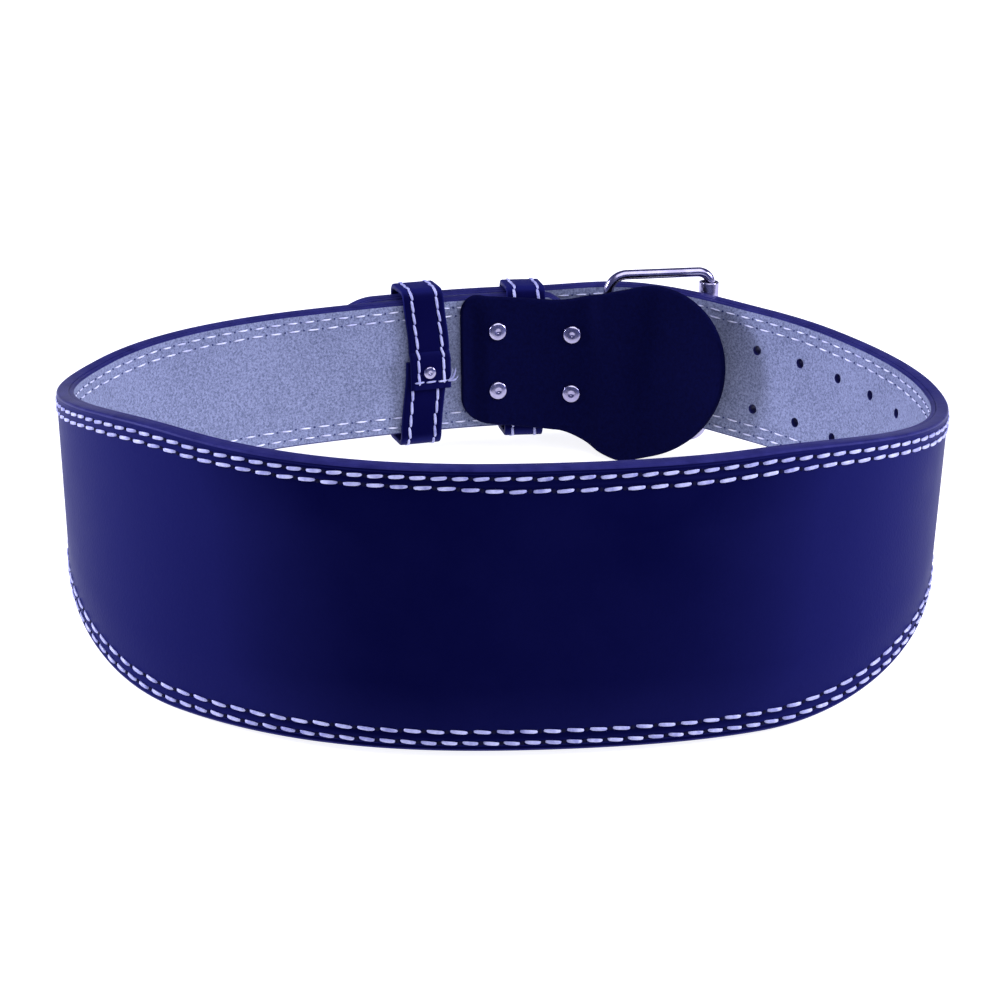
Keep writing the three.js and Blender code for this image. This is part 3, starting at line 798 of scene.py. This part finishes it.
def row_stitches(row, outside, thread, gap):
    """Stitches and needle holes of one row, on the outer or on the inner face."""
    route = sewing_route(row)

    def face_out(along):
        return spiral_step(along) + (-0.12 if outside else -BELT_THICKNESS + 0.02)

    spots = [place(along, face_out(along), height) for along, height in route]
    mark_at, marks = walk(route, spots, row["pitch"])
    stitches, holes = [], []
    for start in marks[:-1]:
        wander = random.uniform(-0.12, 0.12)
        length = row["pitch"] * random.uniform(0.985, 1.015)
        left = mark_at(start)[0] < mark_at(start + length)[0]

        def frame_of(share):
            along, height = mark_at(start + length * share)
            ahead = mark_at(start + length * share + 0.5)
            spot = place(along, face_out(along), height + wander)
            heading = place(ahead[0], face_out(ahead[0]), ahead[1] + wander) - spot
            out = wall_at(along)[3] * (1 if outside else -1)
            across = out.cross(heading).normalized()
            return spot, across, out

        slant = random.uniform(0.3, 0.6) * (1 if left == outside else -1)
        if not outside:
            slant = random.uniform(-0.2, 0.2)
        stitches.append(thread_stitch(mark_at, frame_of, thread, gap, slant,
                                      *((10, 9) if outside else (6, 6))))
        spot, across, out = frame_of(0.0)
        holes.append((spot, across, out))
    return stitches, holes


def join_rings(parts, sides):
    points, faces = [], []
    for part in parts:
        faces += ring_faces(len(part) // sides, sides, start=len(points))
        points += part
    return points, faces


def make_sewing(outside):
    """All rows of one face: thread, and dark discs of painted shade at the needle holes between the stitches."""
    side_name = "outer" if outside else "inner"
    stitches, holes = [], []
    for row in SEWING_ROWS:
        row_threads, row_holes = row_stitches(row, outside, OUTER_THREAD if outside else INNER_THREAD,
                                              0.075 if outside else 0.2)
        stitches += row_threads
        holes += row_holes
    points, faces = join_rings(stitches, 10 if outside else 6)
    new_piece(f"{side_name}_sewing", points, faces, [THREAD if outside else BOBBIN_THREAD],
              sharp=80.0)
    # A small dark disc at each needle hole, standing a little proud of the face: painted shade of the hole
    reach = 0.75 if outside else 0.36
    profile = [(reach, -0.25), (reach, 0.05), (reach * 0.7, 0.09), (0.05, 0.1)]
    dots = [turned(profile, spot + out * (0.12 if outside else 0.03), (across, out.cross(across), out), 8)
            for spot, across, out in holes]
    points, faces = join_rings(dots, 8)
    new_piece(f"{side_name}_needle_hole_shade", points, faces,
              [HOLE_SHADE_ON_LEATHER if outside else HOLE_SHADE_ON_SUEDE], sharp=80.0)


# Guard flap

FLAP_DISC_HALF = math.hypot(FLAP_DISC_REACH, FLAP_DISC_SKEW)


def flap_edge(at, side):
    """Height of the flap's upper (side 1) or lower (side -1) edge: corner, rectangle, waist and disc."""
    crest = FLAP_DISC_AT + side * FLAP_DISC_SKEW
    if at > crest:
        turn = math.acos(min(max((at - FLAP_DISC_AT) / FLAP_DISC_HALF, -1.0), 1.0))
        skew = math.atan2(FLAP_DISC_SKEW, FLAP_DISC_REACH)
        return FLAP_DISC_RISE + FLAP_DISC_RADIUS * math.sin(skew + side * turn)
    run = min(at, FLAP_WAIST_AT)
    if side > 0:
        straight, corner = FLAP_TOP + FLAP_TOP_SLOPE * run, FLAP_TOP_CORNER
    else:
        straight, corner = FLAP_BOTTOM + FLAP_BOTTOM_SLOPE * run, FLAP_BOTTOM_CORNER
    short = max(corner - (at - FLAP_START_AT), 0.0)
    cut = corner - math.sqrt(corner ** 2 - short ** 2)
    waist = smooth(at, FLAP_WAIST_AT, crest)
    return mix(straight - side * cut, FLAP_DISC_RISE + side * FLAP_DISC_RADIUS, waist)


def flap_stations():
    places = [FLAP_START_AT + FLAP_BOTTOM_CORNER * (1 - math.cos(math.radians(turn))) for turn in range(0, 90, 5)]
    places += stations(FLAP_START_AT + FLAP_BOTTOM_CORNER, FLAP_DISC_AT, 1.6)
    places += [FLAP_DISC_AT + FLAP_DISC_HALF * math.cos(math.radians(turn)) for turn in range(87, 0, -3)]
    return places


def make_guard_flap():
    """A flap of brushed leather, die-cut, its edges rubbed round."""
    columns = 20
    places = flap_stations()
    upper = [Vector((at, flap_edge(at, 1))) for at in places]
    lower = [Vector((at, flap_edge(at, -1))) for at in places]
    right = [upper[-1].lerp(lower[-1], step / columns) for step in range(1, columns)]
    left = [lower[0].lerp(upper[0], step / columns) for step in range(1, columns)]
    contour = upper + right + lower[::-1] + left
    count = len(contour)
    inwards = []
    for index, point in enumerate(contour):
        ahead = contour[(index + 1) % count] - contour[index - 1]
        inwards.append(Vector((ahead.y, -ahead.x)).normalized())

    def flap_spot(flat, depth):
        return place(under(flat.x), flap_out(flat.x) - depth, flat.y)

    edge = 0.9
    rims = []
    for turn in (0.0, 22.5, 45.0, 67.5, 90.0):
        angle = math.radians(turn)
        rims.append((edge * (1 - math.sin(angle)), edge * (1 - math.cos(angle))))
    rims += [(inset, FLAP - depth) for inset, depth in reversed(rims)]
    points, faces = [], []
    for inset, depth in rims:
        points += [flap_spot(contour[index] + inwards[index] * inset, depth) for index in range(count)]
    for rim in range(len(rims) - 1):
        for index in range(count):
            after = (index + 1) % count
            faces.append((rim * count + index, rim * count + after, (rim + 1) * count + after,
                          (rim + 1) * count + index))
    for inset, depth, base in ((rims[0][0], 0.0, 0), (rims[-1][0], FLAP, (len(rims) - 1) * count)):
        grid = []
        for index in range(len(places)):
            twin = count - (columns - 1) - 1 - index
            top = contour[index] + inwards[index] * inset
            low = contour[twin] + inwards[twin] * inset
            column = [base + index]
            for step in range(1, columns):
                if index == 0:
                    column.append(base + count - step)
                elif index == len(places) - 1:
                    column.append(base + len(places) - 1 + step)
                else:
                    column.append(len(points))
                    points.append(flap_spot(top.lerp(low, step / columns), depth))
            column.append(base + twin)
            grid.append(column)
        for before, after in zip(grid, grid[1:]):
            for step in range(columns):
                faces.append((before[step], after[step], after[step + 1], before[step + 1]))
    return new_piece("brushed_flap", points, faces, [FLAP_LEATHER], ["guard_flap"], sharp=60.0)


# Buckle

def make_buckle():
    """Frame of bent wire, roller of rolled tube, and two prongs that hang on the hinge bar."""
    half = FRAME_HEIGHT / 2
    reach = (buckle_point(1, 0) - buckle_point(0, 0)).length
    line = []
    for radius, side, start in ((ROLLER_CORNER, 1, 0), (HINGE_CORNER, 1, 90),
                                (HINGE_CORNER, -1, 180), (ROLLER_CORNER, -1, 270)):
        share = radius / reach
        middle = 1 - share if radius == ROLLER_CORNER else share
        for step in range(17):
            angle = math.radians(start + 90 * step / 16)
            line.append(buckle_point(middle + share * math.cos(angle),
                                     FRAME_RISE + side * (half - radius) + radius * math.sin(angle)))
    across = buckle_point(1, 0) - buckle_point(0, 0)
    upwards = buckle_point(0, 1) - buckle_point(0, 0)
    square = across.cross(upwards).normalized()
    new_piece("bent_wire_frame", wire_rings(line, WIRE / 2, square, 24, meets=True),
              ring_faces(len(line), 24, meets=True), [NICKEL], ["buckle_frame"], sharp=60.0)

    inner, outer = WIRE / 2 + TURNING_GAP, ROLLER / 2
    long_half = half - ROLLER_INSET
    rows = [(inner, -long_half + 3.0), (outer - 1.0, -long_half + 2.6), (outer - 0.9, -long_half + 0.15),
            (outer - 0.7, -long_half), (outer - 0.3, -long_half), (outer - 0.08, -long_half + 0.12),
            (outer, -long_half + 0.4), (outer, -long_half / 2), (outer, 0.0)]
    profile = rows + [(radius, -rise) for radius, rise in reversed(rows[:-1])]
    axis = upwards.normalized()
    beside = axis.cross(square).normalized()
    tube = turned(profile, buckle_point(1, FRAME_RISE), (beside, beside.cross(axis), axis), 40)
    new_piece("rolled_tube", tube, ring_faces(len(profile), 40, meets=True), [NICKEL],
              ["buckle_roller"], sharp=50.0)

    upright = Vector((0, 0, 1))
    for name, height in (("prong_upper", PRONG_HEIGHTS[0]), ("prong_lower", PRONG_HEIGHTS[1])):
        shaft = even_line([place(under(at), out, height) for at, out in PRONG_ROUTE], 1.2)
        thinning = [min(1.0, 0.35 + 0.65 * math.sin(math.pi / 2 * min((len(shaft) - 1 - index) / 2.5, 1.0)))
                    for index in range(len(shaft))]
        points = wire_rings(shaft, PRONG / 2, upright, 16, shares=thinning)
        faces = ring_faces(len(shaft), 16)
        eye_radius = WIRE / 2 + TURNING_GAP + PRONG / 2
        eye = []
        for step in range(36):
            angle = 2 * math.pi * step / 36
            eye.append(buckle_point(0, height) + ONWARDS * (eye_radius * math.cos(angle))
                       + HINGE_LEVEL * (eye_radius * math.sin(angle)))
        faces += ring_faces(len(eye), 16, meets=True, start=len(points))
        points += wire_rings(eye, PRONG / 2, upright, 16, meets=True)
        new_piece(f"bent_{name}", points, faces, [NICKEL], [name], sharp=60.0)


# Keepers

def keeper_line(keeper, lapped):
    """Flesh side of the band as rows of out and height: round the strap, its ends lapped or meeting."""
    left = -(BELT_THICKNESS + keeper["clear"])
    right = OVERLAP_STEP + KEEPER_CLEAR_OUTSIDE
    top = keeper["height"] / 2 - KEEPER
    corner = KEEPER_CORNER - KEEPER
    line = []
    lap_top = LAP_END + KEEPER_LAP
    if lapped:
        line += [(left, height) for height in stations(lap_top - 1.0, -top + corner, 2.0)]
    else:
        line += [(left, height) for height in stations(0.0, -top + corner, 2.0)]
    arcs = ((left + corner, -top + corner, 180, 270), (right - corner, -top + corner, 270, 360),
            (right - corner, top - corner, 0, 90), (left + corner, top - corner, 90, 180))
    for out, height, start, end in arcs:
        for step in range(10):
            angle = math.radians(mix(start, end, step / 9))
            line.append((out + corner * math.cos(angle), height + corner * math.sin(angle)))
        if start == 270:
            line += [(right, rise) for rise in stations(-top + corner, top - corner, 2.5)[1:-1]]
    if lapped:
        line += [(left, height) for height in stations(top - corner, lap_top + 3.0, 2.0)[1:]]
        line += [(left - KEEPER * smooth(height, lap_top + 2.6, lap_top - 0.2), height)
                 for height in stations(lap_top + 2.4, LAP_END, 0.9)]
    else:
        line += [(left, height) for height in stations(top - corner, 0.0, 2.0)[1:-1]]
    return line


def keeper_axes(keeper):
    along = under(keeper["at"])
    tangent, level, up, outward = wall_at(along)
    return place(along, 0.0, keeper["rise"]), outward, up, -tangent


def keeper_sway(out, height, lapped, lower):
    """How far a keeper's band wanders along the strap, as it has been pulled askew."""
    if not lapped:
        return -1.0 * smooth(out, -6.0, 6.0) - 0.9 * smooth(height, 5.0, -30.0)
    if lower:
        return mix(-3.2, -0.5, smooth(height, -30.0, 2.0))
    return 0.7 - 1.9 * smooth(height, 8.0, 30.0)


def make_keeper(name, keeper, lapped):
    """A band of the belt's leather in a loop, its edges rubbed round, sewn along both edges."""
    origin, outward, up, across = keeper_axes(keeper)
    line = keeper_line(keeper, lapped)
    count = len(line)
    half = keeper["width"] / 2
    from_edge = KEEPER_SEWING["from_edge"]
    grain = [(half - 0.7, 0.0), (half - from_edge + 0.9, 0.0), (half - from_edge, 0.14),
             (half - from_edge - 0.9, 0.0), (half * 0.3, 0.0)]
    section = [(wide, KEEPER - sunk) for wide, sunk in grain]
    section += [(-wide, KEEPER - sunk) for wide, sunk in reversed(grain)]
    rims = [(half - 0.2, KEEPER - 0.2), (half, KEEPER - 0.7), (half, 0.4), (half - 0.12, 0.12), (half - 0.4, 0.0)]
    section += [(-wide, rise) for wide, rise in rims]
    section += list(reversed(rims))
    sides = len(section)
    middles = []
    points = []
    for index, (out, height) in enumerate(line):
        before = line[(index - 1) % count] if not lapped else line[max(index - 1, 0)]
        after = line[(index + 1) % count] if not lapped else line[min(index + 1, count - 1)]
        heading = Vector((after[0] - before[0], after[1] - before[1])).normalized()
        away = Vector((heading.y, -heading.x))
        sway = keeper_sway(out, height, lapped, index < count / 2)
        skive = 1.0
        if lapped:
            skive = mix(0.8, 1.0, min((count - 1 - index) / 3, 1.0))
        base = origin + outward * out + up * height + across * sway
        normal = outward * away.x + up * away.y
        middles.append((base, normal))
        points += [base + across * wide + normal * rise * skive for wide, rise in section]
    piece = new_piece(name, points, ring_faces(count, sides, meets=not lapped),
                      [KEEPER_LEATHER], [name.replace("band_", "keeper_")], sharp=60.0)
    spots = [base + normal * (KEEPER - 0.08) for base, normal in middles]
    if not lapped:
        spots.append(spots[0])
        middles.append(middles[0])
    sew_keeper(name, keeper["width"] / 2 - from_edge, spots, [normal for base, normal in middles], across)
    return piece


def sew_keeper(name, offset, spots, normals, across):
    """Two rows of fat thread along a keeper, nearly touching, so that they run like a wavy cord."""
    reach = [0.0]
    for first, second in zip(spots, spots[1:]):
        reach.append(reach[-1] + (second - first).length)

    def frame_at(goal, wide):
        goal = min(max(goal, 0.0), reach[-1])
        low = min(max(bisect.bisect_right(reach, goal) - 1, 0), len(reach) - 2)
        share = (goal - reach[low]) / max(reach[low + 1] - reach[low], 1e-9)
        normal = normals[low].lerp(normals[low + 1], share).normalized()
        return spots[low].lerp(spots[low + 1], share) + across * wide, across, normal

    stitches = []
    pitch = KEEPER_SEWING["pitch"]
    for side in (1, -1):
        wide = side * offset
        goal = 0.4
        while goal + pitch < reach[-1]:
            length = pitch * random.uniform(0.93, 1.07)
            wander = wide + random.uniform(-0.18, 0.18)

            def frame_of(share):
                return frame_at(goal + length * share, wander)

            stitches.append(thread_stitch(None, frame_of, KEEPER_THREAD, -0.05, random.uniform(0.3, 0.75)))
            goal += length
    points, faces = join_rings(stitches, 10)
    new_piece(f"{name}_sewing", points, faces, [THREAD], sharp=80.0)


def make_lap_sewing():
    """Thread across the sliding keeper's lap, with its frayed ends."""
    origin, outward, up, across = keeper_axes(SLIDING_KEEPER)
    face = -(BELT_THICKNESS + SLIDING_KEEPER["clear"] + 2 * KEEPER) - 0.05
    height = LAP_END + 3.2
    stitches = []
    for start, end in ((-8.4, -4.0), (-3.6, 0.9), (1.4, 5.4), (5.2, 9.2)):
        def frame_of(share):
            spot = origin + outward * face + up * height + across * (mix(start, end, share) + 1.9)
            return spot, up, -outward
        stitches.append(thread_stitch(None, frame_of, {"width": 0.8, "height": 0.6}, 0.02, 0.2))
    points, faces = join_rings(stitches, 10)
    new_piece("lap_sewing", points, faces, [THREAD], sharp=80.0)
    frays = []
    for number in range(5):
        root = origin + outward * (face - 0.2) + up * (height + 0.3) + across * (7.0 + 0.4 * number)
        tip = Vector((random.uniform(1.5, 4.0), random.uniform(0.4, 1.6), random.uniform(1.0, 5.0)))
        line = [root + across * tip.x * t - outward * tip.y * math.sin(2.4 * t) + up * tip.z * t * t
                for t in (0.0, 0.2, 0.4, 0.6, 0.8, 1.0)]
        frays.append(wire_rings(line, 0.14, outward, 6))
    points, faces = join_rings(frays, 6)
    new_piece("frayed_ends", points, faces, [THREAD], sharp=80.0)


# Rivets

def make_rivet(name, along, head_out, height, grip, dome, head, cap):
    """A tubular rivet: low domed head with a dimple from the setting tool, shank and flat cap."""
    tangent, level, up, outward = wall_at(along)
    rim = head / 2
    rows = [(0.03, -dome * 0.8), (rim * 0.1, -dome * 0.82), (rim * 0.18, -dome * 0.92), (rim * 0.24, -dome),
            (rim * 0.45, -dome * 0.99), (rim * 0.65, -dome * 0.95), (rim * 0.82, -dome * 0.87),
            (rim * 0.91, -dome * 0.75), (rim * 0.97, -dome * 0.52), (rim, -dome * 0.24), (rim * 0.985, 0.0)]
    rows += [(1.35, 0.04), (1.35, grip)]
    if cap:
        rows += [(cap / 2 - 0.1, grip), (cap / 2, grip + 0.2), (cap / 2 - 0.25, grip + RIVET_CAP_THICKNESS - 0.15),
                 (cap / 2 - 0.7, grip + RIVET_CAP_THICKNESS), (0.05, grip + RIVET_CAP_THICKNESS)]
    points = turned(rows, place(along, head_out, height), (tangent, up, outward), 48)
    return new_piece(name, points, ring_faces(len(rows), 48), [NICKEL],
                     [name.replace("tubular_", "")], sharp=50.0)


def make_rivets():
    number = 1
    for column in RIVET_COLUMNS:
        head_out = flap_out(column["at"]) - FLAP
        for side in (0.5, -0.5):
            make_rivet(f"tubular_rivet_{number}", under(column["at"]), head_out, column["up"] + side * RIVET_ROWS,
                       PART_GAP - head_out, RIVET_DOME, RIVET_HEAD, RIVET_CAP)
            number += 1
    head_out = -(BELT_THICKNESS + SLIDING_KEEPER["clear"] + 2 * KEEPER)
    make_rivet("tubular_keeper_rivet", under(SLIDING_KEEPER["at"]), head_out,
               SLIDING_KEEPER["rise"] + LAP_END + KEEPER_RIVET_OVER_LAP_END,
               2 * KEEPER - 0.6, KEEPER_RIVET_DOME, KEEPER_RIVET_HEAD, None)


make_main_strap()
make_lining()
make_sewing(outside=True)
make_sewing(outside=False)
make_guard_flap()
make_buckle()
make_keeper("band_fixed", FIXED_KEEPER, lapped=False)
make_keeper("band_sliding", SLIDING_KEEPER, lapped=True)
make_lap_sewing()
make_rivets()


# Studio

def make_floor():
    mesh = bpy.data.meshes.new("studio_floor")
    side = 6.0
    mesh.from_pydata([(-side, -side, 0), (side, -side, 0), (side, side, 0), (-side, side, 0)], [], [(0, 1, 2, 3)])
    mesh.materials.append(studio_floor())
    floor = bpy.data.objects.new("studio_floor", mesh)
    bpy.context.scene.collection.objects.link(floor)


def softbox(name, spot, aim, width, height, watts, tint="#ffffff"):
    """A soft studio light at a spot, turned to what it lights."""
    light = bpy.data.lights.new(name, "AREA")
    light.color = hex_colour(tint)[:3]
    light.shape = "RECTANGLE"
    light.size = width
    light.size_y = height
    light.energy = watts
    lamp = bpy.data.objects.new(name, light)
    lamp.location = spot
    lamp.rotation_euler = (Vector(aim) - Vector(spot)).to_track_quat("-Z", "Y").to_euler()
    bpy.context.scene.collection.objects.link(lamp)


def make_studio():
    make_floor()
    world = bpy.data.worlds.new("studio")
    world.use_nodes = True
    world.node_tree.nodes["Background"].inputs["Color"].default_value = hex_colour("#b0b4ff")
    world.node_tree.nodes["Background"].inputs["Strength"].default_value = 0.25
    bpy.context.scene.world = world
    softbox("overhead_box", (0.35, -0.6, 1.4), (0.0, 0.0, 0.0), 1.8, 1.8, 24.0)
    softbox("left_box", (-1.2, 0.1, 0.5), (0.08, 0.06, 0.05), 0.4, 0.4, 20.0, "#e4e5ff")
    softbox("right_box", (1.2, -0.1, 0.6), (-0.05, 0.0, 0.06), 0.5, 0.5, 18.0, "#e4e5ff")
    bpy.context.scene.view_settings.view_transform = "Standard"


def make_camera():
    """Where the photograph was taken from: a long lens above the wide panel, 20.5 degrees over its rim."""
    distance = 1236.1
    rise = math.radians(20.5)
    lens = bpy.data.cameras.new("photo_camera")
    lens.sensor_width = 36.0
    lens.lens = 36.0 * 3362.4 / 1000
    lens.shift_x = 0.00716
    lens.shift_y = -0.02156
    camera = bpy.data.objects.new("photo_camera", lens)
    spot = STAND @ Vector((0.0, -distance * math.cos(rise), distance * math.sin(rise)))
    aim = STAND @ Vector((0.0, 0.0, 0.0))
    facing = (aim - spot).to_track_quat("-Z", "Y").to_matrix().to_4x4()
    camera.matrix_world = Matrix.Translation(spot) @ facing @ Matrix.Rotation(0.006, 4, "Z")
    bpy.context.scene.collection.objects.link(camera)
    bpy.context.scene.camera = camera


make_studio()
make_camera()
